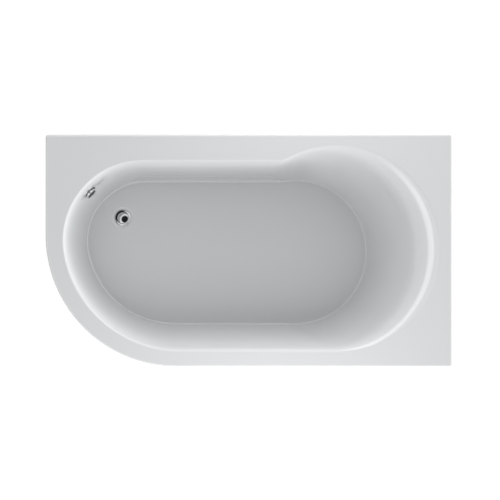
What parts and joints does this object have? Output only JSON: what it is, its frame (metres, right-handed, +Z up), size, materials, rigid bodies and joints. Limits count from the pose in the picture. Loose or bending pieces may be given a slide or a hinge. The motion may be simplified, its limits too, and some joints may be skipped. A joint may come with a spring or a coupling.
{
  "type": "shower bath",
  "caption": "White acrylic bath with a round shower end, one rounded free corner, pop-up waste, turn-knob overflow, trap and adjustable leg frame.",
  "frame": {"origin": "on the floor under the middle of the rim's outer rectangle", "axes": "+X along the bath to the shower end, +Y to the back wall, +Z up"},
  "size_m": [1.7, 0.97, 0.58],
  "materials": {
    "acrylic": "gloss",
    "glassfibre": "rough sprayed",
    "chipboard": "raw",
    "timber": "raw",
    "galvanised_steel": "spangled",
    "zinc_plate": "bright zinc",
    "foot_plastic": "satin",
    "rubber": "matte",
    "chrome": "polished",
    "white_plastic": "satin",
    "grey_plastic": "satin",
    "hose_plastic": "satin",
    "cable_sheath": "satin",
    "brass": "turned"
  },
  "bodies": {
    "bath": {"acrylic_shell": "acrylic", "glassfibre_backing": "glassfibre", "base_board": "chipboard", "rim_battens": "timber", "corner_blocks": "timber", "cross_channel_left": "galvanised_steel", "cross_channel_right": "galvanised_steel", "wall_hanger_back_left": "galvanised_steel", "wall_hanger_back_right": "galvanised_steel", "wall_hanger_end": "galvanised_steel", "channel_screws": "zinc_plate", "leg_nuts": "zinc_plate", "flange_washer": "rubber", "waste_seal": "rubber", "overflow_gasket": "rubber", "waste_flange": "chrome", "overflow_trim": "chrome", "waste_body": "white_plastic", "trap_u_bend": "white_plastic", "trap_outlet": "white_plastic", "overflow_elbow": "white_plastic", "trap_inlet_nut": "grey_plastic", "trap_joint_nut": "grey_plastic", "hose_nuts": "grey_plastic", "overflow_hose": "hose_plastic", "pull_cable": "cable_sheath", "lever_pin": "brass"},
    "leg_back_left": {"leg_rod_back_left": "zinc_plate", "leg_foot_back_left": "foot_plastic", "leg_pad_back_left": "rubber"},
    "leg_front_left": {"leg_rod_front_left": "zinc_plate", "leg_foot_front_left": "foot_plastic", "leg_pad_front_left": "rubber"},
    "leg_back_right": {"leg_rod_back_right": "zinc_plate", "leg_foot_back_right": "foot_plastic", "leg_pad_back_right": "rubber"},
    "leg_front_right": {"leg_rod_front_right": "zinc_plate", "leg_foot_front_right": "foot_plastic", "leg_pad_front_right": "rubber"},
    "plug": {"plug_seal": "rubber", "waste_plug": "chrome"},
    "knob": {"overflow_knob": "chrome", "cable_drum": "white_plastic", "knob_spindle": "brass"},
    "lever": {"lift_lever": "white_plastic"}
  },
  "joints": [
    {"name": "knob_turn", "type": "hinge", "parent": "bath", "child": "knob", "pos_m": [-0.67563, 0.24852, 0.498], "axis": [0.7314, -0.6658, 0.1471], "range_deg": [0, 80]},
    {"name": "plug_lift", "type": "slide", "parent": "bath", "child": "plug", "axis": [0, 0, 1], "range_m": [0, 0.011]},
    {"name": "lever_swing", "type": "hinge", "parent": "bath", "child": "lever", "pos_m": [-0.54673, 0.13119, 0.1142], "axis": [0.6732, 0.7395, 0], "range_deg": [0, 28.95]},
    {"name": "leg_back_left_height", "type": "slide", "parent": "bath", "child": "leg_back_left", "axis": [0, 0, -1], "range_m": [-0.012, 0.012]},
    {"name": "leg_front_left_height", "type": "slide", "parent": "bath", "child": "leg_front_left", "axis": [0, 0, -1], "range_m": [-0.012, 0.012]},
    {"name": "leg_back_right_height", "type": "slide", "parent": "bath", "child": "leg_back_right", "axis": [0, 0, -1], "range_m": [-0.012, 0.012]},
    {"name": "leg_front_right_height", "type": "slide", "parent": "bath", "child": "leg_front_right", "axis": [0, 0, -1], "range_m": [-0.012, 0.012]}
  ],
  "couplings": [
    {"joint": "plug_lift", "follows": "knob_turn", "m_per_rad": 0.0078781},
    {"joint": "lever_swing", "follows": "knob_turn", "ratio": 0.36193}
  ]
}
